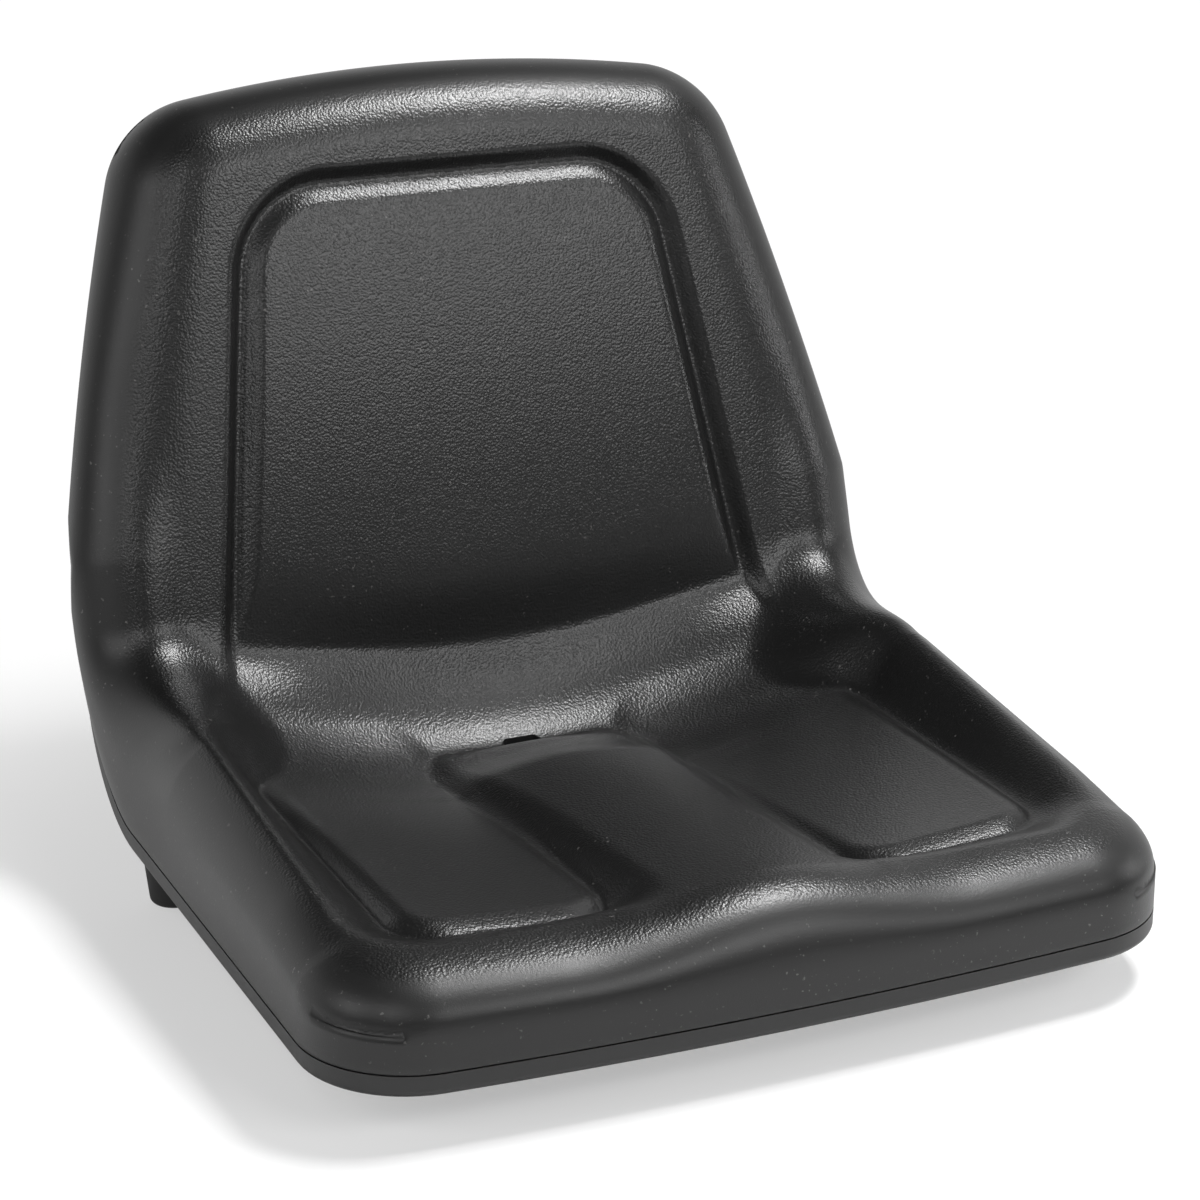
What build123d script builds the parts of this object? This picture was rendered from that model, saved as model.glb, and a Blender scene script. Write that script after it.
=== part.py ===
"""Garden tractor seat: a moulded foam cushion in a plastic pan, with inserts and rubber feet."""

import math
import os

from build123d import *

# Sizes in millimetres. The origin is the middle of the bolt pattern on the boss faces, the front
# of the seat faces -Y and +Z is up.

# Rim line, where cushion and pan part: flat under the seat, one bend, then the straight back
seat_width = 480
front_bow = 12
front_corner_radius = 60
seat_length = 350
bend_radius = 75
recline = 18
back_length = 348
top_width = 356
top_bow = 18
top_corner_radius = 62
taper_start = 80
taper_blend = 300
side_bulge = 4
half_width = seat_width / 2

# Pan
pan_depth = 12
pan_wall = 3
pan_edge_radius = 4
boss_height = 10
boss_diameter = 26
rib_height = 6
rib_thickness = 3

# Bolt pattern and inserts. The rear bolts lie close ahead of the bend.
bolts_across = 285.75
bolts_along = 260.35
rear_bolt_inset = 4.825
thread_bore = 6.8
insert_diameter = 12
insert_length = 11
front_to_bolts = seat_length - rear_bolt_inset - bolts_along / 2

# Feet, placed beside the ribs at the front, and from the sides and the bend at the rear
foot_height = 28
foot_top_radius = 17
foot_bottom_radius = 14
foot_edge_radius = 4
foot_stem_radius = 4
foot_stem_length = 2.5
foot_rib_gap = 8.625
rear_foot_x = half_width - 21
rear_foot_y = seat_length - 10
front_foot_x = (bolts_across + rib_thickness) / 2 + foot_top_radius + foot_rib_gap
front_foot_y = 112

# Drain slot behind the hump
drain_y = seat_length + 9
drain_length = 22
drain_width = 6
drain_clearance = 3

# Sitting side of the cushion: heights above the rim line, and the line they are measured from
seat_floor = 10
back_floor = 48
skin_recline = 15
waist_radius = 130
waist_sink = 25
waist_dish = 12
wall_front = 20
wall_waist = 34
wall_back = 12
seat_roll = 42
low_roll = 60
top_roll = 46
roll_power = 3
roll_limit = 1.05

# Seat basin, bolsters and front lip
basin_front = 33
basin_rear = 10
basin_dish = 36
bolster_front = 52
bolster_rear = 88
bolster_back = 26
bolster_start = half_width - 62
bolster_top = half_width - 28
bolster_fill = 18
flank_spread = 30
flank_widen = 22
lip_centre = 60
lip_side = 46
lip_spread = 112
lip_back = 44
lip_foot = 70

# Thigh pads and centre hump
pad_front = 66
pad_rear = seat_length + 22
pad_inner = 66
pad_outer = half_width - 63
pad_rear_shift = 9
pad_rear_flare = 8
pad_corner = 30
pad_roll = 15
pad_height = 8
pad_fade = 0.6
fade_start = 180
hump_half_width = 70
hump_rear = seat_length
hump_corner = 22
hump_roll = 34
hump_rear_roll = 18
hump_drop = 31

# Back frame and the panel with its pillow, which tucks in behind the waist at its foot
frame_height = 8
panel_bottom_half = half_width - 66
panel_top_half = top_width / 2 - 44
panel_bottom = 8
panel_bottom_bow = 18
panel_top = back_length - 57
panel_corner = 56
panel_wall = 11
panel_depth = 8
sill_reach = 60
sill_depth = 9
sill_power = 1.5
heel_reach = 55
heel_power = 2.2
pillow_start = 13
pillow_roll = 16
pillow_sink = 5
pillow_crown = 6

# Grid the skin is drawn through
skin_margin = 14
skin_columns = 73
skin_rows = 113

# The rim line's corner points in the side view, measured from the front and from the rim's height
rim_height = pan_depth + boss_height
lean = math.radians(recline)
bend_angle = math.pi / 2 - lean
up_y, up_z = math.sin(lean), math.cos(lean)
bend_end_y = seat_length + bend_radius * math.sin(bend_angle)
bend_end_z = bend_radius * (1 - math.cos(bend_angle))
block_height = bolster_rear + frame_height

# The sitting side's own line: seat, waist arc and a back that leans a little less than the rim
skin_lean = math.radians(skin_recline)
skin_turn = math.pi / 2 - skin_lean
skin_up_y, skin_up_z = math.sin(skin_lean), math.cos(skin_lean)
floor_y = bend_end_y + panel_top * up_y - back_floor * up_z
floor_z = bend_end_z + panel_top * up_z + back_floor * up_y
corner_y = floor_y - (floor_z - seat_floor) * math.tan(skin_lean)
waist_start = corner_y - waist_radius * math.tan(skin_turn / 2)
waist_end = waist_start + waist_radius * skin_turn
arc_end_y = waist_start + waist_radius * math.sin(skin_turn)
arc_end_z = seat_floor + waist_radius * (1 - math.cos(skin_turn))
back_shift = (arc_end_y - bend_end_y) * up_y + (arc_end_z - bend_end_z) * up_z
arc_floor = (bend_end_y - arc_end_y) * up_z + (arc_end_z - bend_end_z) * up_y
skin_length = waist_end + back_length - back_shift

# Sides of the back: from the straight foot to the top they lean in and bulge a little
taper_top = back_length - top_bow
taper = (half_width - top_width / 2) / (taper_top - taper_start)
side_lean = math.atan(taper)
front_slant = math.sin(math.atan(front_bow / half_width))
top_slant = math.sin(side_lean + 2 * math.atan(2 * top_bow / top_width))


def share(value, low, high):
    """Rise straight from 0 at low to 1 at high."""
    return min(max((value - low) / (high - low), 0), 1)


def ease(value, low, high):
    """Rise smoothly from 0 at low to 1 at high."""
    part = share(value, low, high)
    return part * part * (3 - 2 * part)


def inside(side, end, radius, slant=0):
    """Distance inside two edges that meet in a rounded corner, slant being how far from square it is."""
    past_side, past_end = radius - side, radius - end
    if past_side > past_end * slant and past_end > past_side * slant:
        square = past_side ** 2 + past_end ** 2 - 2 * past_side * past_end * slant
        return radius - math.sqrt(square / (1 - slant ** 2))
    return min(side, end)


def edge_distance(across, along):
    """Distance inside the rim of the seat or of the back."""
    front = along - front_bow * (across / half_width) ** 2
    up = along - waist_end + back_shift
    part = share(up, taper_start, taper_top)
    width = half_width - taper * max(up - taper_start, 0) + 4 * side_bulge * part * (1 - part)
    top = back_length - top_bow * (across / (top_width / 2)) ** 2 - up
    if along < waist_start:
        return inside(half_width - across, front, front_corner_radius, front_slant)
    return inside((width - across) * math.cos(side_lean), top, top_corner_radius, top_slant)


def seat_height(across, along):
    """Height of the seat and of the back's frame over their line, without the rolled edge."""
    forward = share(along, lip_foot, waist_start)
    turned = share(along, waist_start, waist_end)
    upward = ease(turned, 0, 1)
    waist = math.sin(math.pi * turned) ** 2
    dish = basin_dish * forward * (1 - upward) + waist_dish * waist
    basin = (basin_front + (basin_rear - basin_front) * forward - seat_floor) * (1 - upward)
    basin += frame_height * upward - waist_sink * waist + dish * (across / pad_outer) ** 2
    low_back = bolster_back - seat_floor
    bolster = bolster_front + (bolster_rear - bolster_front) * forward - seat_floor
    bolster += (low_back - bolster) * upward + bolster_fill * waist
    bolster += (frame_height - low_back) * ease(along, waist_end, waist_end + panel_top_half)
    flank = ease(across, bolster_start - flank_spread * waist, bolster_top + flank_widen * waist)
    height = basin + (bolster - basin) * flank
    inner_edge = pad_inner - pad_rear_shift * forward
    outer_edge = pad_outer + pad_rear_flare * forward
    pad_side = min(across - inner_edge, outer_edge - across)
    pad_end = min(along - pad_front, pad_rear - along)
    pad_lift = pad_height * (1 - pad_fade * ease(along, fade_start, pad_rear))
    height += pad_lift * ease(inside(pad_side, pad_end, pad_corner), 0, pad_roll)
    crest = lip_side + (lip_centre - lip_side) * (1 - ease(across, 0, lip_spread)) - seat_floor
    crest -= hump_drop * share(along, lip_back, hump_rear) + waist_sink * waist
    lip = 1 - ease(along, lip_back, lip_foot)
    roll = hump_roll + (hump_rear_roll - hump_roll) * ease(along, fade_start, hump_rear)
    hump = ease(inside(hump_half_width - across, hump_rear - along, hump_corner), 0, roll)
    return height + (crest - height) * (1 - (1 - lip) * (1 - hump))


def panel_drop(across, along):
    """Depth of the back's panel under the frame: a groove, and the pillow inside it."""
    up = along - waist_end + back_shift
    part = (up - panel_bottom) / (panel_top - panel_bottom)
    half = panel_bottom_half + (panel_top_half - panel_bottom_half) * part
    depth = inside(half - across, panel_top - up, panel_corner)
    foot_line = panel_bottom + panel_bottom_bow * (across / panel_bottom_half) ** 2
    sill = share(up, foot_line - sill_reach, foot_line) ** sill_power
    heel = (1 - share(up, foot_line, foot_line + heel_reach)) ** heel_power
    groove = panel_depth + (sill_depth - panel_depth) * heel
    face = pillow_sink - 4 * pillow_crown * part * (1 - part)
    pillow = min(ease(depth, pillow_start, pillow_start + pillow_roll), 1 - heel)
    return sill * groove * ease(depth, 0, panel_wall) - (groove - face) * pillow


def wall_level(along):
    """Level of the cushion's upright edge over the skin's own line."""
    turned = ease(along, waist_start, (waist_start + waist_end) / 2)
    wall = wall_front + (wall_waist - wall_front) * share(along, 0, waist_start)
    wall += (wall_back - wall_waist) * ease(along, waist_start, waist_end)
    floor = seat_floor + (arc_floor - seat_floor) * turned
    floor += max(along - waist_end, 0) * math.sin(lean - skin_lean)
    return wall - floor


def skin_height(across, along):
    """Height of the sitting side over its own line."""
    height = seat_height(across, along) - panel_drop(across, along)
    up = along - waist_end + back_shift
    back_roll = low_roll + (top_roll - low_roll) * share(up, 0, back_length)
    roll = seat_roll + (back_roll - seat_roll) * ease(along, waist_start, waist_end)
    rolled = min(max(1 - edge_distance(across, along) / roll, 0), roll_limit) ** roll_power
    return height + (wall_level(along) - height) * rolled


def skin_point(x, along):
    """Point of the sitting side at a place across and along the seat."""
    height = skin_height(abs(x), along)
    turn = min(max((along - waist_start) / waist_radius, 0), skin_turn)
    beyond = max(along - waist_end, 0)
    y = min(along, waist_start) + waist_radius * math.sin(turn) + beyond * skin_up_y
    z = seat_floor + waist_radius * (1 - math.cos(turn)) + beyond * skin_up_z
    y -= height * math.sin(turn)
    z += height * math.cos(turn)
    return Vector(x, y - front_to_bolts, z + rim_height)


# Outlines of the rim: from above, and square to the back
plan_plane = Plane((0, -front_to_bolts, rim_height))
back_origin = (0, bend_end_y - front_to_bolts, bend_end_z + rim_height)
back_plane = Plane(back_origin, x_dir=(1, 0, 0), z_dir=(0, -up_z, up_y))
reach = 2 * (seat_length + back_length)

with BuildSketch(plan_plane) as plan:
    with BuildLine():
        ThreePointArc((-half_width, front_bow), (0, 0), (half_width, front_bow))
        Polyline((half_width, front_bow), (half_width, reach), (-half_width, reach), (-half_width, front_bow))
    make_face()
    fillet(plan.vertices().sort_by(Axis.Y)[:2], front_corner_radius)

with BuildSketch(back_plane) as back_corners:
    with BuildLine():
        top_x, foot_x = top_width / 2, half_width
        middle_x = (top_x + foot_x) / 2 + side_bulge * math.cos(side_lean)
        middle_y = (taper_top + taper_start) / 2 + side_bulge * math.sin(side_lean)
        ThreePointArc((-top_x, taper_top), (0, back_length), (top_x, taper_top))
        ThreePointArc((top_x, taper_top), (middle_x, middle_y), (foot_x, taper_start))
        Polyline((foot_x, taper_start), (foot_x, -reach), (-foot_x, -reach), (-foot_x, taper_start))
        ThreePointArc((-foot_x, taper_start), (-middle_x, middle_y), (-top_x, taper_top))
    make_face()

with BuildSketch(back_plane) as back_outline:
    add(back_corners.sketch_local)
    fillet(back_outline.vertices().sort_by(Axis.Y)[-2:], top_corner_radius)
    fillet(back_outline.vertices().sort_by(Axis.Y)[2:4], taper_blend)

# The same outlines inside the pan's wall
with BuildSketch(plan_plane) as plan_inside:
    offset(plan.sketch_local, amount=-pan_wall)

with BuildSketch(back_plane) as back_inside:
    offset(back_corners.sketch_local, amount=-pan_wall, kind=Kind.INTERSECTION)
    fillet(back_inside.vertices().sort_by(Axis.Y)[-2:], top_corner_radius - pan_wall)
    fillet(back_inside.vertices().sort_by(Axis.Y)[2:4], taper_blend - pan_wall)

# Side views of all that lies on the sitter's side of the rim, of the pan's inside and of its outside
side_plane = Plane((0, -front_to_bolts, rim_height), x_dir=(0, 1, 0), z_dir=(1, 0, 0))
side_views = []
for drop in (0, pan_depth - pan_wall, pan_depth):
    radius = bend_radius + drop
    tangent = (seat_length + radius * up_z, bend_radius - radius * up_y)
    half_turn = bend_angle / 2
    middle = (seat_length + radius * math.sin(half_turn), bend_radius - radius * math.cos(half_turn))
    top = (tangent[0] + reach * up_y, tangent[1] + reach * up_z)
    thick = block_height + drop
    top_front = (top[0] - thick * up_z, top[1] + thick * up_y)
    inner_corner = (top_front[0] - (top_front[1] - block_height) * math.tan(lean), block_height)
    with BuildSketch(side_plane) as side_view:
        with BuildLine():
            Line((-skin_margin, -drop), (seat_length, -drop))
            ThreePointArc((seat_length, -drop), middle, tangent)
            Polyline(tangent, top, top_front, inner_corner, (-skin_margin, block_height), (-skin_margin, -drop))
        make_face()
    side_views.append(side_view.sketch)
rim_side, inner_side, outer_side = side_views

# Skin of the sitting side, lofted through rows that run across the seat
columns = range(skin_columns)
across_places = [(half_width + skin_margin) * (2 * column / (skin_columns - 1) - 1) for column in columns]
row_places = [column / (skin_columns - 1) for column in columns]
skin_wires = []
for row in range(skin_rows):
    along = (skin_length + 2 * skin_margin) * row / (skin_rows - 1) - skin_margin
    points = [skin_point(x, along) for x in across_places]
    skin_wires.append(Wire([Edge.make_spline(points, parameters=row_places)]))
skin = Shell.make_loft(skin_wires)

# Foam that fills the pan up to the rim line
with BuildPart() as pan_fill:
    extrude(inner_side, amount=seat_width, both=True)
    extrude(plan_inside.sketch, amount=reach, both=True, mode=Mode.INTERSECT)
    extrude(back_inside.sketch, amount=reach, both=True, mode=Mode.INTERSECT)

# Cushion: block over the rim line, trimmed by the skin, with the fill below it
with BuildPart() as seat_cushion:
    extrude(rim_side, amount=seat_width, both=True)
    extrude(plan.sketch, amount=reach, both=True, mode=Mode.INTERSECT)
    extrude(back_outline.sketch, amount=reach, both=True, mode=Mode.INTERSECT)
    add(pan_fill.part)
    split(bisect_by=skin, keep=Keep.BOTTOM)
    with BuildSketch(Plane((0, drain_y - front_to_bolts, 0))):
        SlotOverall(drain_length, drain_width)
    extrude(amount=reach, mode=Mode.SUBTRACT)

# Pan: tray under and behind the cushion, with its edge strip, ribs and screw bosses
floor_bottom = rim_height - pan_depth
with BuildPart() as seat_pan:
    extrude(outer_side, amount=seat_width, both=True)
    extrude(plan.sketch, amount=reach, both=True, mode=Mode.INTERSECT)
    extrude(back_outline.sketch, amount=reach, both=True, mode=Mode.INTERSECT)
    floor_face = seat_pan.faces().sort_by(Axis.Z)[0]
    back_face = seat_pan.faces().filter_by(back_plane).sort_by(Axis.Y)[-1]
    bend_face = seat_pan.faces().filter_by(GeomType.CYLINDER).sort_by_distance(back_origin)[0]
    tray_edges = floor_face.edges() + bend_face.edges() + back_face.edges()
    outer_edges = [edge for edge in tray_edges if tray_edges.count(edge) == 1]
    fillet(outer_edges, pan_edge_radius)
    with BuildSketch(Plane.XY.offset(floor_bottom - rib_height)):
        with GridLocations(0, bolts_along, 1, 2):
            Rectangle(bolts_across + 2 * boss_diameter, rib_thickness)
        with GridLocations(bolts_across, 0, 2, 1):
            Rectangle(rib_thickness, bolts_along)
    extrude(amount=rib_height + pan_depth)
    with BuildSketch(Plane.XY):
        with GridLocations(bolts_across, bolts_along, 2, 2):
            Circle(boss_diameter / 2)
    extrude(amount=rim_height)
    extrude(rim_side, amount=seat_width, both=True, mode=Mode.SUBTRACT)
    add(pan_fill.part, mode=Mode.SUBTRACT)
    with BuildSketch(Plane.XY):
        with GridLocations(bolts_across, bolts_along, 2, 2):
            Circle(insert_diameter / 2)
    extrude(amount=insert_length, mode=Mode.SUBTRACT)
    with BuildSketch(Plane((0, drain_y - front_to_bolts, 0))):
        SlotOverall(drain_length + drain_clearance, drain_width + drain_clearance)
    extrude(amount=rim_height + bend_radius, mode=Mode.SUBTRACT)
    foot_places = [(side * rear_foot_x, rear_foot_y - front_to_bolts) for side in (-1, 1)]
    foot_places += [(side * front_foot_x, front_foot_y - front_to_bolts) for side in (-1, 1)]
    with BuildSketch(Plane.XY.offset(floor_bottom)):
        with Locations(*foot_places):
            Circle(foot_stem_radius)
    extrude(amount=pan_wall, mode=Mode.SUBTRACT)

# Inserts: four threaded bushes in the bosses
with BuildPart() as threaded_inserts:
    with BuildSketch():
        with GridLocations(bolts_across, bolts_along, 2, 2):
            Circle(insert_diameter / 2)
            Circle(thread_bore / 2, mode=Mode.SUBTRACT)
    extrude(amount=insert_length)

os.makedirs("parts", exist_ok=True)

# Feet: one tapered rubber foot at each corner, its stem in the pan's floor. Left and right are the sitter's.
foot_names = ("foot_rear_right", "foot_rear_left", "foot_front_right", "foot_front_left")
for foot_name, (foot_x, foot_y) in zip(foot_names, foot_places):
    with BuildPart(Plane((foot_x, foot_y, floor_bottom))) as foot:
        Cone(foot_bottom_radius, foot_top_radius, foot_height, align=(Align.CENTER, Align.CENTER, Align.MAX))
        fillet(foot.edges().sort_by(Axis.Z)[0], foot_edge_radius)
        Cylinder(foot_stem_radius, foot_stem_length, align=(Align.CENTER, Align.CENTER, Align.MIN))
    foot.part.label = foot_name
    export_step(foot.part, f"parts/{foot_name}.step")

seat_cushion.part.label = "seat_cushion"
export_step(seat_cushion.part, "parts/seat_cushion.step")
seat_pan.part.label = "seat_pan"
export_step(seat_pan.part, "parts/seat_pan.step")
threaded_inserts.part.label = "threaded_inserts"
export_step(threaded_inserts.part, "parts/threaded_inserts.step")
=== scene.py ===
# %% [markdown]
# # Garden tractor seat
#
# A one-piece foam cushion with a grained black skin sits on a ribbed plastic pan with four rubber feet.
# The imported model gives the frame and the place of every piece. Its cushion is too coarse for a close look,
# so the skin is made again here, much finer, by the same kind of section rule.
# The pan, the inserts and the feet keep their meshes and get better materials.

import math
from types import SimpleNamespace

import bmesh
import bpy
import numpy as np
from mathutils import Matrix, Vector


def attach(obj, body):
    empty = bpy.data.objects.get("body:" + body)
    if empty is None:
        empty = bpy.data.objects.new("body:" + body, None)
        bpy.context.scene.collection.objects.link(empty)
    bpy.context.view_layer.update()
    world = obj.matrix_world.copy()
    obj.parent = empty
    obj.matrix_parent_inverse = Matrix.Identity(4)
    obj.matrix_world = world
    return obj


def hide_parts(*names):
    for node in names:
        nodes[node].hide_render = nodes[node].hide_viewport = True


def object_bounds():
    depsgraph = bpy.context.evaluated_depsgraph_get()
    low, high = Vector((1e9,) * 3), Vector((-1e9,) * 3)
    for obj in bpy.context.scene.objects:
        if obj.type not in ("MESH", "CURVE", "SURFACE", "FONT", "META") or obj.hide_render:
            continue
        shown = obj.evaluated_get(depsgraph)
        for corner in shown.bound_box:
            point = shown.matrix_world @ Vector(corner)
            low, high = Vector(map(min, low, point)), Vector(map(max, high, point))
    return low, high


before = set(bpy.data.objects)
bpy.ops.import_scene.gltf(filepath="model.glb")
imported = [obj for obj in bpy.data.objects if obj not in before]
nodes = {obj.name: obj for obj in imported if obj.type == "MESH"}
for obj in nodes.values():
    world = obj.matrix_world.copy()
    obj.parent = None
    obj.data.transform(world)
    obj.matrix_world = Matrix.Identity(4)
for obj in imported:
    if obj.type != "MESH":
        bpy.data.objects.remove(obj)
packed_box = [list(corner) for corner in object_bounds()]
scene = bpy.context.scene
scene.view_settings.view_transform = "Standard"
print("nodes:", ", ".join(sorted(nodes)))

# %% [markdown]
# ## Camera
#
# The camera stands low at the front, a little to the right of the sitter, with a long lens.
# It was fitted to the seat's rim line, which gives a focal length and an optical axis in pixels.
# Blender wants a lens in millimetres and a shift as a share of the picture, so both are worked out here.

# %% Camera
picture_width = 1200
focal_length = 3399.8
axis_x, axis_y = 617.2, 593.4
aim = Vector((0, 0.005, 0.172))
distance = 1.8345
camera_azimuth, camera_elevation = -24.0, 19.2
sensor_width = 36


def direction(azimuth, elevation):
    """A unit vector; azimuth 0 points to the front and 90 to +X, in degrees."""
    turn, rise = math.radians(azimuth), math.radians(elevation)
    return Vector((math.sin(turn) * math.cos(rise), -math.cos(turn) * math.cos(rise), math.sin(rise)))


view_way = direction(camera_azimuth, camera_elevation)
camera = bpy.data.objects.new("camera", bpy.data.cameras.new("camera"))
scene.collection.objects.link(camera)
scene.camera = camera
camera.location = aim + distance * view_way
camera.rotation_euler = view_way.to_track_quat("Z", "Y").to_euler()
camera.data.sensor_width = sensor_width
camera.data.lens = focal_length / picture_width * sensor_width
camera.data.shift_x = (picture_width / 2 - axis_x) / picture_width
camera.data.shift_y = (axis_y - picture_width / 2) / picture_width
print("camera at", [round(value, 3) for value in camera.location])

# %% [markdown]
# ## Node sums that read like sums
#
# The skin's shape and the materials are sums, and sums built node by node are hard to read.
# One class wraps a node's output socket, so that `a + b` adds a Math node.
# Every other node comes from `add_node`: its type, its settings, then values or links for its sockets.

# %% The socket class


def add_node(tree, kind, settings=None, sockets=None, output=0):
    """Makes one node and gives back one of its outputs."""
    made = tree.nodes.new(kind)
    for name, value in (settings or {}).items():
        setattr(made, name, value)
    for key, value in (sockets or {}).items():
        if isinstance(value, Signal):
            tree.links.new(value.socket, made.inputs[key])
        else:
            made.inputs[key].default_value = value
    return Signal(tree, made.outputs[output]) if len(made.outputs) else made


class Signal:
    """An output socket with Python's operators."""

    def __init__(self, tree, socket):
        self.tree = tree
        self.socket = socket

    def math(self, operation, *values):
        return add_node(self.tree, "ShaderNodeMath", {"operation": operation}, dict(enumerate(values)))

    def __add__(self, other):
        return self.math("ADD", self, other)

    def __radd__(self, other):
        return self.math("ADD", other, self)

    def __sub__(self, other):
        return self.math("SUBTRACT", self, other)

    def __rsub__(self, other):
        return self.math("SUBTRACT", other, self)

    def __mul__(self, other):
        return self.math("MULTIPLY", self, other)

    def __rmul__(self, other):
        return self.math("MULTIPLY", other, self)

    def __truediv__(self, other):
        return self.math("DIVIDE", self, other)

    def __pow__(self, other):
        return self.math("POWER", self, other)

    def __abs__(self):
        return self.math("ABSOLUTE", self)

    def least(self, other):
        return self.math("MINIMUM", self, other)

    def most(self, other):
        return self.math("MAXIMUM", self, other)

    def between(self, low, high, curve="LINEAR"):
        """0 below low, 1 above high."""
        ends = {"Value": self, "From Min": low, "From Max": high}
        return add_node(self.tree, "ShaderNodeMapRange", {"interpolation_type": curve}, ends)

    def ease(self, low, high):
        return self.between(low, high, "SMOOTHSTEP")


print("socket class ready")

# %% [markdown]
# ## Sizes
#
# Lengths are in metres and angles in radians. Each size becomes a named input of the skin's tree,
# so that one number moves one feature.
# `across` runs from the middle to the side. `along` runs from the front rim over the seat,
# round the waist and up the back. A power sets how sharply a form starts.

# %% Sizes
size = SimpleNamespace(
    # rim and sheet of the pan
    seat_width=0.480, seat_length=0.350, front_to_bolts=0.215, front_bow=0.012, front_corner=0.060,
    bend_radius=0.075, recline=math.radians(18), back_length=0.348, top_width=0.356, top_bow=0.018,
    side_bulge=0.004, top_corner=0.062, taper_start=0.080, taper_blend=0.300, rim_height=0.022,
    # floor that the skin's height is measured from, and the waist
    seat_floor=0.010, back_floor=0.048, skin_lean=math.radians(15),
    waist_radius=0.130, waist_sink=0.025, waist_dish=0.024,
    # side wall and the roll above it
    wall_front=0.020, wall_waist=0.034, wall_back=0.012, overhang=0.007, overhang_power=3.0,
    seat_roll=0.042, low_roll=0.060, top_roll=0.046, roll_power=2.1,
    # seat's well and its bolsters
    basin_front=0.033, basin_rear=0.010, dish_front=0.0083, dish_rear=0.0295, well_corner=0.050,
    bolster_front=0.056, bolster_rear=0.082, bolster_back=0.026, bolster_start=0.184, bolster_top=0.218,
    bolster_fill=0.026, bolster_spread=0.038, bolster_widen=0.022,
    # front lip
    lip_centre=0.060, lip_side=0.046, lip_spread=0.112, lip_back=0.042, lip_foot=0.070, lip_reach=0.120,
    # thigh pads
    pad_front=0.066, pad_rear=0.372, pad_inner=0.066, pad_outer=0.184, pad_shift=0.009,
    pad_corner=0.030, pad_roll=0.015, pad_height=0.008, pad_fade=0.180, pad_rear_loss=0.85,
    # centre hump
    hump_half=0.070, hump_rear=0.350, hump_corner=0.022, hump_roll=0.028, hump_heel=0.016, hump_drop=0.031,
    # back panel: its wall, the sill at its foot, and the pillow inside
    frame_height=0.008, panel_foot_half=0.174, panel_top_half=0.134, panel_foot=0.008, panel_top=0.291,
    panel_foot_bow=0.018, panel_corner=0.056, panel_wall=0.010, panel_depth=0.008,
    sill_reach=0.060, sill_wall=0.034, sill_depth=0.008, sill_power=3.0,
    sill_end_start=0.55, sill_end_full=0.95, heel_reach=0.055, heel_power=2.2,
    pillow_start=0.010, pillow_roll=0.013, pillow_sink=0.005, pillow_crown=0.006,
)
print("sizes:", len(vars(size)))

# %% Sizes that follow
size.half_width = size.seat_width / 2
size.bend_angle = math.pi / 2 - size.recline
size.bend_end_y = size.seat_length + size.bend_radius * math.sin(size.bend_angle)
size.bend_end_z = size.bend_radius * (1 - math.cos(size.bend_angle))
size.skin_turn = math.pi / 2 - size.skin_lean
up_y, up_z = math.sin(size.recline), math.cos(size.recline)
floor_y = size.bend_end_y + size.panel_top * up_y - size.back_floor * up_z
floor_z = size.bend_end_z + size.panel_top * up_z + size.back_floor * up_y
corner_y = floor_y - (floor_z - size.seat_floor) * math.tan(size.skin_lean)
size.waist_start = corner_y - size.waist_radius * math.tan(size.skin_turn / 2)
size.waist_end = size.waist_start + size.waist_radius * size.skin_turn
arc_end_y = size.waist_start + size.waist_radius * math.sin(size.skin_turn)
arc_end_z = size.seat_floor + size.waist_radius * (1 - math.cos(size.skin_turn))
size.back_shift = (arc_end_y - size.bend_end_y) * up_y + (arc_end_z - size.bend_end_z) * up_z
size.arc_floor = (size.bend_end_y - arc_end_y) * up_z + (arc_end_z - size.bend_end_z) * up_y
size.taper = (size.half_width - size.top_width / 2) / (size.back_length - size.top_bow - size.taper_start)
size.front_slant = math.sin(math.atan(size.front_bow / size.half_width))
size.top_slant = math.sin(math.atan(size.taper) + 2 * math.atan(2 * size.top_bow / size.top_width))
print("waist from", round(size.waist_start, 3), "to", round(size.waist_end, 3), "m along")

# %% [markdown]
# ## Outline
#
# The rim is the line where the cushion meets the pan. It has a bowed front, rounded corners,
# straight sides, a tapered back with a slight bulge and a bowed top. It could be drawn as a Bezier curve,
# but the pan's rim is made of arcs, so arcs with the same radii follow it closely.
# Four curves make it: front, right side, top, left side.

# %% Outline
arc_points = 80


def arc(centre, radius, start, end):
    angles = np.linspace(start, end, arc_points)
    return np.column_stack((centre[0] + radius * np.cos(angles), centre[1] + radius * np.sin(angles)))


bow_radius = (size.half_width**2 + size.front_bow**2) / (2 * size.front_bow)
front_x = size.half_width - size.front_corner
front_y = bow_radius - math.sqrt((bow_radius - size.front_corner) ** 2 - front_x**2)
front_turn = math.atan2(front_y - bow_radius, front_x)
front_half = np.vstack((
    arc((0, bow_radius), bow_radius, -math.pi / 2, front_turn),
    arc((front_x, front_y), size.front_corner, front_turn, front_turn / 2),
))
print("front corner's centre is", round(front_y, 4), "m along")

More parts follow.
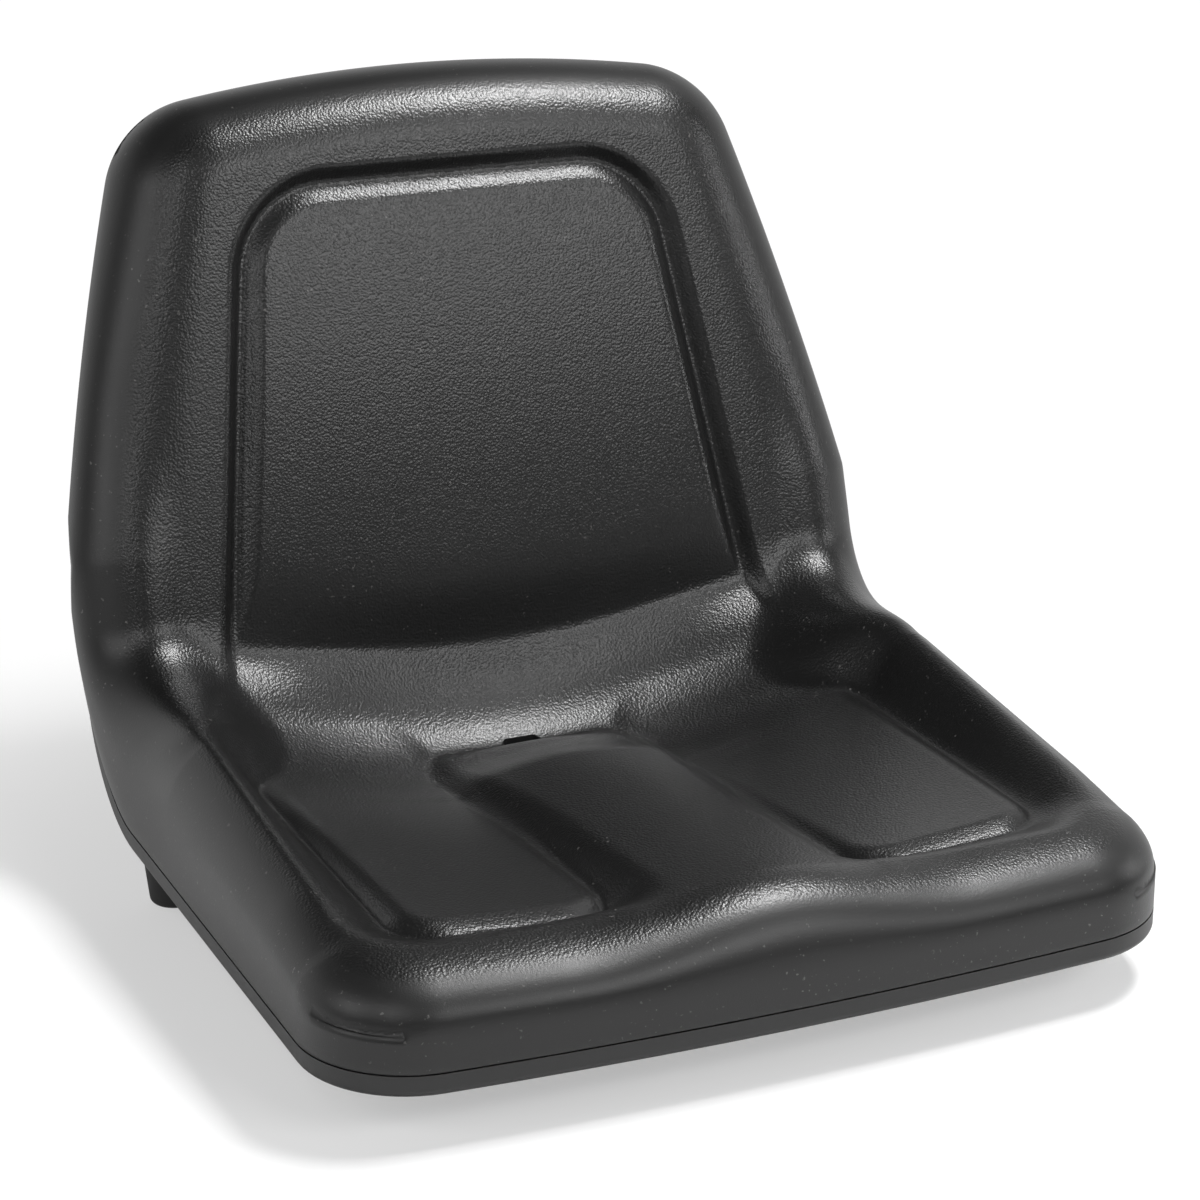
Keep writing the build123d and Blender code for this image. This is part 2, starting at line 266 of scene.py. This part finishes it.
# %% Sides and top of the outline
back_start = size.seat_length + size.bend_radius * size.bend_angle
chord = np.array((size.top_width / 2 - size.half_width, size.back_length - size.top_bow - size.taper_start))
side_radius = (chord @ chord / 4 + size.side_bulge**2) / (2 * size.side_bulge)
side_lean = math.atan2(-chord[0], chord[1])
side_start = np.array((size.half_width, back_start + size.taper_start))
inward = np.array((-math.cos(side_lean), -math.sin(side_lean)))
side_centre = side_start + chord / 2 + (side_radius - size.side_bulge) * inward
blend_centre_x = size.half_width - size.taper_blend
blend_rise = math.sqrt((side_radius - size.taper_blend) ** 2 - (blend_centre_x - side_centre[0]) ** 2)
blend_sign = math.copysign(1, side_start[1] - side_centre[1])
blend_centre = np.array((blend_centre_x, side_centre[1] + blend_rise * blend_sign))
blend_turn = math.atan2(*(blend_centre - side_centre)[::-1])
crown_radius = ((size.top_width / 2) ** 2 + size.top_bow**2) / (2 * size.top_bow)
crown_centre = np.array((0, back_start + size.back_length - crown_radius))
gap = crown_centre - side_centre
apart = np.hypot(*gap)
from_side, from_crown = side_radius - size.top_corner, crown_radius - size.top_corner
along_gap = (from_side**2 - from_crown**2 + apart**2) / (2 * apart)
aside = math.sqrt(from_side**2 - along_gap**2)
top_centre = side_centre + gap / apart * along_gap + aside * np.array((-gap[1], gap[0])) / apart
if top_centre[1] < crown_centre[1]:
    top_centre = side_centre + gap / apart * along_gap - aside * np.array((-gap[1], gap[0])) / apart
side_turn = math.atan2(*(top_centre - side_centre)[::-1])
top_turn = math.atan2(*(top_centre - crown_centre)[::-1])
print("side arc", round(side_radius, 3), "m, corner at", top_centre.round(4))
side_right = np.vstack((
    arc((front_x, front_y), size.front_corner, front_turn / 2, 0),
    arc(blend_centre, size.taper_blend, 0, blend_turn),
    arc(side_centre, side_radius, blend_turn, side_turn),
    arc(top_centre, size.top_corner, side_turn, (side_turn + top_turn) / 2),
))
top_half = np.vstack((
    arc(crown_centre, crown_radius, math.pi / 2, top_turn),
    arc(top_centre, size.top_corner, top_turn, (side_turn + top_turn) / 2),
))
print("side curve has", len(side_right), "points, half the top has", len(top_half))

# %% Even spacing
crowding = 0.45


def crowd(share):
    """Draws even shares towards both ends."""
    return share - crowding * np.sin(2 * math.pi * share) / (2 * math.pi)


def spread(points, count):
    """Points along a curve, closer together at both ends."""
    steps = np.hypot(*np.diff(points, axis=0).T)
    length = np.concatenate(((0,), np.cumsum(steps)))
    share = crowd(np.linspace(0, 1, count + 1))
    return np.column_stack([np.interp(share * length[-1], length, column) for column in points.T])


columns, rows = ((230, 360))
mirror = np.array((-1, 1))
front = spread(np.vstack((front_half[::-1] * mirror, front_half[1:])), columns)
top = spread(np.vstack((top_half[::-1] * mirror, top_half[1:])), columns)
right = spread(side_right, rows)
left = right * mirror
rim_width, rim_length = 2 * np.max(right[:, 0]), np.max(top[:, 1])
print("rim is", round(rim_width, 4), "m wide and", round(rim_length, 4), "m along the sheet")

# %% [markdown]
# ## Flat pattern
#
# A flat grid fills the outline, like the pattern of a cover before it is pulled over the foam.
# A subdivided plane would leave steps at the round corners. Blending the four curves into each other
# gives rows that follow the rim, so the roll at the edge stays smooth.
# The pan's sheet and the skin bend on different radii, so `pattern_along` carries one length to the other.

# %% Flat pattern
seat_mark, back_mark = 0.250, 0.060
sheet_marks = (0, seat_mark, back_start + back_mark, back_start + size.back_length)
back_origin = size.waist_end - size.back_shift
skin_marks = (0, seat_mark, back_origin + back_mark, back_origin + size.back_length)


def pattern_along(curve):
    return np.column_stack((curve[:, 0], np.interp(curve[:, 1], sheet_marks, skin_marks)))


flat_front, flat_top, flat_right, flat_left = map(pattern_along, (front, top, right, left))
u = crowd(np.linspace(0, 1, columns + 1)[:, None, None])
v = crowd(np.linspace(0, 1, rows + 1)[None, :, None])
flat = (1 - v) * flat_front[:, None] + v * flat_top[:, None]
flat = flat + (1 - u) * flat_left[None] + u * flat_right[None]
left_ends = (1 - v) * flat_front[0] + v * flat_top[0]
right_ends = (1 - v) * flat_front[-1] + v * flat_top[-1]
flat -= (1 - u) * left_ends + u * right_ends
index = np.arange((columns + 1) * (rows + 1)).reshape(columns + 1, rows + 1)
quads = np.stack((index[:-1, :-1], index[1:, :-1], index[1:, 1:], index[:-1, 1:]), axis=-1).reshape(-1, 4)
pattern = bpy.data.meshes.new("cushion_pattern")
flat_points = np.zeros((index.size, 3))
flat_points[:, :2] = flat.reshape(-1, 2)
pattern.from_pydata(flat_points.tolist(), [], quads.tolist())
print("pattern has", len(pattern.polygons), "cells")

# %% [markdown]
# ## Skin rule
#
# The skin is one moulding, so its forms run into each other without seams. Sculpting it by hand would hide
# the sizes. A Geometry Nodes tree keeps them: it lifts the flat pattern to the skin by one sum.
# The height over the bent floor is the basin, the side bolsters, the two thigh pads, the centre hump with
# the front lip, and the sunk back panel. Near the rim the height rolls over into the side wall.

# %% Skin rule
tree = bpy.data.node_groups.new("cushion_skin", "GeometryNodeTree")
tree.interface.new_socket("Geometry", in_out="INPUT", socket_type="NodeSocketGeometry")
tree.interface.new_socket("Geometry", in_out="OUTPUT", socket_type="NodeSocketGeometry")
tree.interface.new_socket("Material", in_out="INPUT", socket_type="NodeSocketMaterial")
identifiers = {}
for name, value in vars(size).items():
    socket = tree.interface.new_socket(name, in_out="INPUT", socket_type="NodeSocketFloat")
    socket.default_value = value
    identifiers[name] = socket.identifier
group_input = tree.nodes.new("NodeGroupInput")
s = SimpleNamespace(**{name: Signal(tree, group_input.outputs[name]) for name in identifiers})
position = add_node(tree, "GeometryNodeInputPosition")
split = add_node(tree, "ShaderNodeSeparateXYZ", sockets={0: position}).socket.node
across = abs(Signal(tree, split.outputs[0]))
along = Signal(tree, split.outputs[1])


def inside(side, end, radius, slant=0.0):
    """How far a place lies inside a corner of this radius; slant is how far from square the corner is."""
    beside, before = radius - side, radius - end
    straight = beside.most(before)
    squares = beside * beside + before * before - 2 * slant * beside * before
    round_corner = (squares / (1 - slant * slant)) ** 0.5
    past_side = beside.math("GREATER_THAN", beside, before * slant)
    past_end = before.math("GREATER_THAN", before, beside * slant)
    return radius - straight - (round_corner - straight) * (past_side * past_end)


up = along - s.waist_end + s.back_shift
front_line = along - s.front_bow * (across / s.half_width) ** 2
front_edge = inside(s.half_width - across, front_line, s.front_corner, s.front_slant)
side_share = up.between(s.taper_start, s.back_length - s.top_bow)
bulge = 4 * s.side_bulge * side_share * (1 - side_share)
slant_side = (s.half_width - s.taper * (up - s.taper_start).most(0) + bulge - across) * math.cos(side_lean)
top_side = s.back_length - s.top_bow * (across / (s.top_width / 2)) ** 2 - up
edge = front_edge.least(inside(slant_side, top_side, s.top_corner, s.top_slant))
print("edge rule ready")

# %% Seat's well, bolsters and lip
forward = along.between(s.lip_foot, s.waist_start)
turned = along.between(s.waist_start, s.waist_end)
upward = turned.ease(0, 1)
waist = turned.math("SINE", turned * math.pi) ** 2
sink = s.waist_sink * waist
basin = (s.basin_front + (s.basin_rear - s.basin_front) * forward - s.seat_floor) * (1 - upward)
basin = basin + s.frame_height * upward - sink
dish = (s.dish_front + (s.dish_rear - s.dish_front) * forward) * (1 - upward) + s.waist_dish * waist
basin = basin + dish * (across / s.pad_outer) ** 2
low_back = s.bolster_back - s.seat_floor
bolster = s.bolster_front + (s.bolster_rear - s.bolster_front) * forward - s.seat_floor
bolster = bolster + (low_back - bolster) * upward + s.bolster_fill * waist
bolster = bolster + (s.frame_height - low_back) * along.ease(s.waist_end, s.waist_end + s.panel_top_half)
crest = s.lip_side + (s.lip_centre - s.lip_side) * (1 - across.ease(0, s.lip_spread)) - s.seat_floor
bolster = crest + (bolster - crest) * along.ease(0, s.lip_reach)
well = inside(s.bolster_top + s.bolster_widen * waist - across, along - s.lip_back, s.well_corner)
flank = s.bolster_top - s.bolster_start + (s.bolster_spread + s.bolster_widen) * waist
height = bolster + (basin - bolster) * well.ease(0, flank)
print("well and bolsters ready")

# %% Thigh pads and centre hump
pad_side = (across - s.pad_inner + s.pad_shift * forward).least(s.pad_outer - across)
pad_end = (along - s.pad_front).least(s.pad_rear - along)
pad_height = s.pad_height * (1 - s.pad_rear_loss * along.ease(s.pad_fade, s.pad_rear))
pad = inside(pad_side, pad_end, s.pad_corner)
height = height + pad_height * (1 - (1 - pad.between(0, s.pad_roll)) ** 2)
crest = crest - s.hump_drop * along.between(s.lip_back, s.hump_rear) - sink
hump_roll = s.hump_roll + (s.hump_heel - s.hump_roll) * along.ease(s.pad_fade, s.hump_rear)
hump = inside(s.hump_half - across, s.hump_rear - along, s.hump_corner)
hump = 1 - (1 - hump.between(0, hump_roll)) ** 2
height = height + (crest - height) * hump
print("pads and hump ready")

# %% Back panel
panel_share = (up - s.panel_foot) / (s.panel_top - s.panel_foot)
panel_half = s.panel_foot_half + (s.panel_top_half - s.panel_foot_half) * panel_share
panel_side = inside(panel_half - across, s.panel_top - up, s.panel_corner)
foot_line = s.panel_foot + s.panel_foot_bow * (across / s.panel_foot_half) ** 2
sill_end = across.ease(s.sill_end_start * panel_half, s.sill_end_full * panel_half)
sill = up.between(foot_line - s.sill_reach, foot_line) ** s.sill_power
sill = sill + (up.ease(foot_line - s.sill_wall, foot_line) - sill) * sill_end
heel = (1 - up.between(foot_line, foot_line + s.heel_reach)) ** s.heel_power
groove = s.panel_depth + (s.sill_depth - s.panel_depth) * heel
face = s.pillow_sink - s.pillow_crown * 4 * panel_share * (1 - panel_share)
pillow = panel_side.ease(s.pillow_start, s.pillow_start + s.pillow_roll).least(1 - heel)
height = height - sill * groove * panel_side.ease(0, s.panel_wall) + (groove - face) * pillow
print("back panel ready")

# %% Roll into the side wall
wall = s.wall_front + (s.wall_waist - s.wall_front) * along.between(0, s.waist_start)
wall = wall + (s.wall_back - s.wall_waist) * along.ease(s.waist_start, s.waist_end)
bent_floor = along.ease(s.waist_start, (s.waist_start + s.waist_end) / 2)
bent_floor = s.seat_floor + (s.arc_floor - s.seat_floor) * bent_floor
bent_floor = bent_floor + (along - s.waist_end).most(0) * (s.recline - s.skin_lean)
back_roll = s.low_roll + (s.top_roll - s.low_roll) * up.between(0, s.back_length)
outward = (1 - edge / (s.seat_roll + (back_roll - s.seat_roll) * upward)).most(0).least(1)
rolled = 1 - (1 - outward**s.roll_power) ** 0.5
height = height + (wall - bent_floor - height) * rolled
print("roll ready")

# %% Bend round the waist
turn = ((along - s.waist_start) / s.waist_radius).most(0).least(s.skin_turn)
beyond = (along - s.waist_end).most(0)
sine, cosine = turn.math("SINE", turn), turn.math("COSINE", turn)
skin_y = along.least(s.waist_start) + s.waist_radius * sine - height * sine
skin_y = skin_y + beyond * s.skin_lean.math("SINE", s.skin_lean) - s.front_to_bolts
skin_z = s.seat_floor + s.waist_radius * (1 - cosine) + height * cosine
skin_z = skin_z + beyond * s.skin_lean.math("COSINE", s.skin_lean) + s.rim_height
skin_x = Signal(tree, split.outputs[0]) * (1 + s.overhang * upward * outward**s.overhang_power / s.half_width)
place = add_node(tree, "ShaderNodeCombineXYZ", sockets={0: skin_x, 1: skin_y, 2: skin_z})
sheet = Signal(tree, group_input.outputs["Geometry"])
edge_store = {"Geometry": sheet, "Name": "edge", "Value": edge}
sheet = add_node(tree, "GeometryNodeStoreNamedAttribute", sockets=edge_store)
sheet = add_node(tree, "GeometryNodeSetPosition", sockets={"Geometry": sheet, "Position": place})
sheet = add_node(tree, "GeometryNodeRealizeInstances", sockets={0: sheet})
material_input = Signal(tree, group_input.outputs["Material"])
sheet = add_node(tree, "GeometryNodeSetMaterial", sockets={"Geometry": sheet, "Material": material_input})
add_node(tree, "NodeGroupOutput", sockets={0: sheet})
print("skin tree has", len(tree.nodes), "nodes")

# %% [markdown]
# ## Grained skin
#
# The skin is satin black with a fine leather grain from the mould. The side wall has almost no grain.
# Dust lies on it as pale specks. The grain is finer than any mesh here could hold, so it is a bump from
# rounded Voronoi cells, and the stored distance to the rim fades it out towards the wall.

# %% Material helpers


def material(name):
    """A new material with its shader and its object coordinates."""
    made = bpy.data.materials.new(name)
    made.use_nodes = True
    graph = made.node_tree
    shader = graph.nodes["Principled BSDF"]
    coordinates = add_node(graph, "ShaderNodeTexCoord", output="Object")
    return made, graph, shader, coordinates


def feed(graph, shader, **values):
    """Links signals to the shader's sockets, or sets plain values on them."""
    for name, value in values.items():
        socket = shader.inputs[name.replace("_", " ")]
        if isinstance(value, Signal):
            graph.links.new(value.socket, socket)
        else:
            socket.default_value = value


def noise(graph, coordinates, scale, detail=2.0, roughness=0.5):
    settings = {"Vector": coordinates, "Scale": scale, "Detail": detail, "Roughness": roughness}
    return add_node(graph, "ShaderNodeTexNoise", sockets=settings)


def blend(graph, share, first, second):
    """Mixes two colours."""
    return add_node(graph, "ShaderNodeMix", {"data_type": "RGBA"}, {0: share, 6: first, 7: second}, output=2)


def grey(level, warmth=0.0):
    return (level * (1 + warmth), level, level * (1 - warmth), 1)


print("material helpers ready")

# %% Grained black skin
skin, graph, shader, coordinates = material("grained_black_skin")
grain_scale, grain_depth = 700, 0.00040
wall_edge, grain_edge = 0.013, 0.022
wall_grain, fine_share = 0.12, 0.35
grain = add_node(
    graph, "ShaderNodeTexVoronoi", {"feature": "SMOOTH_F1"},
    {"Vector": coordinates, "Scale": grain_scale, "Smoothness": 0.5, "Randomness": 1.0},
)
fine = noise(graph, coordinates, 1500)
edge_in = add_node(graph, "ShaderNodeAttribute", {"attribute_name": "edge"}, output="Fac")
grained = edge_in.ease(wall_edge, grain_edge)
relief = (1 - grain) * (wall_grain + (1 - wall_grain) * grained) + fine * fine_share
raised_grain = {"Height": relief, "Strength": 0.50, "Distance": grain_depth}
bump = add_node(graph, "ShaderNodeBump", sockets=raised_grain)
patch = noise(graph, coordinates, 9, 3)
dusty = noise(graph, coordinates, 30, 2).between(0.35, 0.65)
speck = noise(graph, coordinates, 420, 1).between(0.70, 0.78) * dusty
base = blend(graph, patch, grey(0.004), grey(0.007))
base = blend(graph, speck * 0.5, base, grey(0.17, 0.03))
feed(graph, shader, Base_Color=base, Normal=bump, Roughness=0.38 + patch * 0.08 - grained * 0.08)
print("skin material:", skin.name)

# %% [markdown]
# ## Cushion
#
# The tree runs once on the flat pattern, and the result is taken as a plain mesh. The side wall is then
# drawn down from the skin's edge to the rim, with a small rounding at the foot that leaves the dark
# parting line, and the underside is closed. A Solidify modifier would thicken the skin evenly,
# but here the foot has to land on the pan's rim, so the rows of the wall are placed one by one.

# %% Lifted skin
lifted = bpy.data.objects.new("cushion_lift", pattern)
scene.collection.objects.link(lifted)
modifier = lifted.modifiers.new("skin", "NODES")
modifier.node_group = tree
for name, identifier in identifiers.items():
    modifier[identifier] = float(vars(size)[name])
modifier[tree.interface.items_tree["Material"].identifier] = skin
bpy.context.view_layer.update()
skin_mesh = bpy.data.meshes.new_from_object(lifted.evaluated_get(bpy.context.evaluated_depsgraph_get()))
points = np.empty((len(skin_mesh.vertices), 3))
skin_mesh.vertices.foreach_get("co", points.ravel())
edge_values = np.empty(len(points))
skin_mesh.attributes["edge"].data.foreach_get("value", edge_values)
bpy.data.objects.remove(lifted)
print("skin reaches", round(points[:, 2].max(), 3), "m high")

# %% Rim in space
sheet_loop = np.vstack((front[:-1], right[:-1], top[:0:-1], left[:0:-1]))
loop = np.concatenate((index[:-1, 0], index[-1, :-1], index[:0:-1, -1], index[0, :0:-1]))
sheet_turn = np.clip((sheet_loop[:, 1] - size.seat_length) / size.bend_radius, 0, size.bend_angle)
sheet_beyond = np.maximum(sheet_loop[:, 1] - back_start, 0)
rim_y = np.minimum(sheet_loop[:, 1], size.seat_length) + size.bend_radius * np.sin(sheet_turn)
rim_y = rim_y + sheet_beyond * up_y
rim_z = size.bend_radius * (1 - np.cos(sheet_turn)) + sheet_beyond * up_z
rim = np.column_stack((sheet_loop[:, 0], rim_y, rim_z))
rim = rim + np.array((0, -size.front_to_bolts, size.rim_height))
sheet_ahead = np.column_stack((np.zeros(len(rim)), np.cos(sheet_turn), np.sin(sheet_turn)))
sheet_normal = np.column_stack((np.zeros(len(rim)), -np.sin(sheet_turn), np.cos(sheet_turn)))
run = np.roll(sheet_loop, -1, axis=0) - np.roll(sheet_loop, 1, axis=0)
run /= np.hypot(*run.T)[:, None]
rim_out = run[:, 1:] * np.array((1, 0, 0)) - run[:, :1] * sheet_ahead
print("rim has", len(rim), "points")

# %% Side wall
foot_round, tuck_under = 0.0016, 0.004
wall_pull = 0.6
wall_shares = (0.2, 0.4, 0.6, 0.8, 1.0)
foot_angles = (0.5, 1.05, math.pi / 2)
wall_top, wall_foot = points[loop], rim + foot_round * sheet_normal
wall_drop = np.linalg.norm(wall_top - wall_foot, axis=1)[:, None]
wall_middle = wall_top - wall_pull * wall_drop * sheet_normal
wall_rows = []
for share in wall_shares:
    bent = (1 - share) ** 2 * wall_top + 2 * share * (1 - share) * wall_middle
    wall_rows.append(bent + share**2 * wall_foot)
for angle in foot_angles:
    lift, tuck = foot_round * (1 - math.sin(angle)), foot_round * (1 - math.cos(angle))
    wall_rows.append(rim + lift * sheet_normal - tuck * rim_out)
wall_rows.append(rim - tuck_under * rim_out)
print("side wall has", len(wall_rows), "rows")

# %% Closed cushion
count = len(rim)
every_point = np.vstack([points] + wall_rows)
rings = [loop] + [len(points) + number * count + np.arange(count) for number in range(len(wall_rows))]
faces = [tuple(quad) for quad in quads.tolist()]
for upper, lower in zip(rings, rings[1:]):
    next_upper, next_lower = np.roll(upper, -1), np.roll(lower, -1)
    faces += np.column_stack((upper, lower, next_lower, next_upper)).tolist()
last = rings[-1]
front_ring = last[: columns + 1]
right_ring = last[columns : columns + rows + 1]
top_ring = last[columns + rows : 2 * columns + rows + 1]
left_ring = np.append(last[2 * columns + rows :], last[0])[::-1]
faces.append(tuple(front_ring[::-1].tolist()))
faces.append(tuple(top_ring[::-1].tolist()))
faces += np.column_stack((left_ring[:-1], left_ring[1:], right_ring[1:], right_ring[:-1])).tolist()
cushion_mesh = bpy.data.meshes.new("cushion_skin")
cushion_mesh.from_pydata(every_point.tolist(), [], faces)
cushion_mesh.materials.append(skin)
cushion_mesh.attributes.new("edge", "FLOAT", "POINT")
extra = len(every_point) - len(points)
cushion_mesh.attributes["edge"].data.foreach_set("value", np.append(edge_values, np.zeros(extra)))
cushion_mesh.shade_smooth()
cushion = bpy.data.objects.new("cushion_skin", cushion_mesh)
scene.collection.objects.link(cushion)
print("cushion has", len(cushion_mesh.polygons), "faces")

# %% [markdown]
# ## Drain slot
#
# A slot at the waist's lowest place lets rain water out. The skin's grid has no edge loop there,
# so a Boolean cuts it with a tall slot-shaped block, which gives a crisp mouth and clean walls.

# %% Block for the slot
drain_y, drain_length, drain_width = 0.359, 0.022, 0.006
slot_height, half_turn_steps = 0.12, 12
bm = bmesh.new()
outline = []
for end, start in ((1, -math.pi / 2), (-1, math.pi / 2)):
    for step in range(half_turn_steps + 1):
        turned_by = start + math.pi * step / half_turn_steps
        x = end * (drain_length - drain_width) / 2 + drain_width / 2 * math.cos(turned_by)
        y = drain_y - size.front_to_bolts + drain_width / 2 * math.sin(turned_by)
        outline.append(bm.verts.new((x, y, 0)))
bottom = bm.faces.new(outline)
pushed = bmesh.ops.extrude_face_region(bm, geom=[bottom])["geom"]
raised = [item for item in pushed if isinstance(item, bmesh.types.BMVert)]
bmesh.ops.translate(bm, verts=raised, vec=(0, 0, slot_height))
bmesh.ops.recalc_face_normals(bm, faces=bm.faces)
slot_mesh = bpy.data.meshes.new("drain_slot")
bm.to_mesh(slot_mesh)
bm.free()
slot_mesh.materials.append(skin)
slot = bpy.data.objects.new("drain_slot", slot_mesh)
scene.collection.objects.link(slot)
print("slot is", drain_length, "m long")

# %% Cut slot
cut = cushion.modifiers.new("drain", "BOOLEAN")
cut.operation = "DIFFERENCE"
cut.object = slot
bpy.context.view_layer.update()
cut_mesh = bpy.data.meshes.new_from_object(cushion.evaluated_get(bpy.context.evaluated_depsgraph_get()))
cushion.modifiers.clear()
cushion.data = cut_mesh
bpy.data.objects.remove(slot)
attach(cushion, "root")
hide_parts("seat_cushion")
print("cushion cut, faces:", len(cut_mesh.polygons))

# %% [markdown]
# ## Pan, feet and inserts
#
# The pan is a satin plastic moulding, the feet are matt rubber and the threaded inserts are brass.
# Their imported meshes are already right, so they only get materials: a slow cloud in the colour and the
# roughness, and on plastic and rubber a fine bump, since no moulded surface is perfectly even.

# %% Satin plastic
plastic, graph, shader, coordinates = material("satin_pan_plastic")
cloud = noise(graph, coordinates, 24, 3)
texture = noise(graph, coordinates, 900, 2)
bump = add_node(graph, "ShaderNodeBump", sockets={"Height": texture, "Strength": 0.3, "Distance": 0.0002})
base = blend(graph, cloud, grey(0.009), grey(0.015))
feed(graph, shader, Base_Color=base, Roughness=0.40 + cloud * 0.14, Normal=bump)
print("pan material:", plastic.name)

# %% Matt rubber
rubber, graph, shader, coordinates = material("matt_rubber")
cloud = noise(graph, coordinates, 60, 3)
texture = noise(graph, coordinates, 1400, 2)
bump = add_node(graph, "ShaderNodeBump", sockets={"Height": texture, "Strength": 0.4, "Distance": 0.0002})
base = blend(graph, cloud, grey(0.012), grey(0.024))
feed(graph, shader, Base_Color=base, Roughness=0.72 + cloud * 0.14, Normal=bump)
print("foot material:", rubber.name)

# %% Brass
brass, graph, shader, coordinates = material("brass")
cloud = noise(graph, coordinates, 300, 3)
base = blend(graph, cloud, (0.52, 0.36, 0.12, 1), (0.66, 0.48, 0.20, 1))
feed(graph, shader, Base_Color=base, Metallic=1.0, Roughness=0.26 + cloud * 0.2)
print("insert material:", brass.name)

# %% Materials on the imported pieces
for name, node in nodes.items():
    kind = plastic if name == "seat_pan" else brass if name == "threaded_inserts" else rubber
    if name != "seat_cushion":
        node.data.materials.clear()
        node.data.materials.append(kind)
print("materials set on", len(nodes) - 1, "nodes")

# %% [markdown]
# ## Studio
#
# The seat stands on white paper in front of a white backdrop. The camera sees both as plain white.
# A black skin shows what it mirrors, so the rest of the room is dark, and only the backdrop and the floor
# behind the seat are mirrored. The floor keeps the soft shadow near the seat.
# An overhead softbox draws the streaks on the lip, the pads and the waist; strips stand at both sides.

# %% Floor
floor_mesh = bpy.data.meshes.new("floor")
reach_out = 9.0
near_glow, shadow_reach, mirror_from = 0.45, (0.25, 0.8), (-0.3, 0.4)
corners = [(-reach_out, -reach_out), (reach_out, -reach_out), (reach_out, reach_out), (-reach_out, reach_out)]
floor_mesh.from_pydata([(x, y, packed_box[0][2]) for x, y in corners], [], [(0, 1, 2, 3)])
floor = bpy.data.objects.new("floor", floor_mesh)
scene.collection.objects.link(floor)
paper, graph, shader, coordinates = material("white_paper")
path = add_node(graph, "ShaderNodeLightPath").socket.node
by_camera, by_gloss, by_glass = (
    Signal(graph, path.outputs[name]) for name in ("Is Camera Ray", "Is Glossy Ray", "Is Transmission Ray")
)
floor_split = add_node(graph, "ShaderNodeSeparateXYZ", sockets={0: coordinates}).socket.node
rearward = Signal(graph, floor_split.outputs[1])
seen = by_camera.most(by_gloss.most(by_glass) * rearward.ease(*mirror_from))
away = add_node(graph, "ShaderNodeVectorMath", {"operation": "LENGTH"}, {0: coordinates}, output="Value")
far_off = (near_glow + (1 - near_glow) * away.ease(*shadow_reach)) * seen
feed(graph, shader, Base_Color=blend(graph, far_off, grey(0.9), grey(0.0)), Roughness=0.9)
feed(graph, shader, Emission_Color=blend(graph, far_off, grey(0.0), grey(1.0)), Emission_Strength=1.0)
floor_mesh.materials.append(paper)
print("floor reaches", reach_out, "m")

# %% World
room_level, backdrop_from, backdrop_top = 0.03, (0.0, 0.5), (0.35, 0.75)
world = bpy.data.worlds.new("white_room")
scene.world = world
world.use_nodes = True
graph = world.node_tree
background = graph.nodes["Background"]
way = add_node(graph, "ShaderNodeTexCoord", output="Generated")
way_parts = add_node(graph, "ShaderNodeSeparateXYZ", sockets={0: way}).socket.node
behind, above = Signal(graph, way_parts.outputs[1]), Signal(graph, way_parts.outputs[2])
direct = Signal(graph, add_node(graph, "ShaderNodeLightPath").socket.node.outputs["Is Camera Ray"])
backdrop = behind.ease(*backdrop_from) * (1 - above.ease(*backdrop_top))
room = blend(graph, backdrop.most(direct), grey(room_level), grey(1.0))
graph.links.new(room.socket, background.inputs["Color"])
print("world:", world.name)

# %% Lamps


def softbox(name, way, far, width, height, power):
    """A rectangular lamp that faces the seat from this way and distance."""
    lamp = bpy.data.lights.new(name, "AREA")
    lamp.shape = "RECTANGLE"
    lamp.size, lamp.size_y = width, height
    lamp.energy = power
    placed = bpy.data.objects.new(name, lamp)
    scene.collection.objects.link(placed)
    placed.location = aim + far * way.normalized()
    placed.rotation_euler = way.to_track_quat("Z", "Y").to_euler()


softbox("key", direction(78, 66), far=1.7, width=0.55, height=0.40, power=36)
softbox("front", direction(22, 30), far=2.2, width=1.2, height=0.45, power=17)
softbox("left_strip", direction(-76, 25), far=1.9, width=0.2, height=0.8, power=6)
softbox("middle_strip", direction(-42, 34), far=2.0, width=0.2, height=0.9, power=6)
softbox("right_strip", direction(80, 15), far=1.9, width=0.2, height=0.7, power=5)

# %% [markdown]
# ## Finish
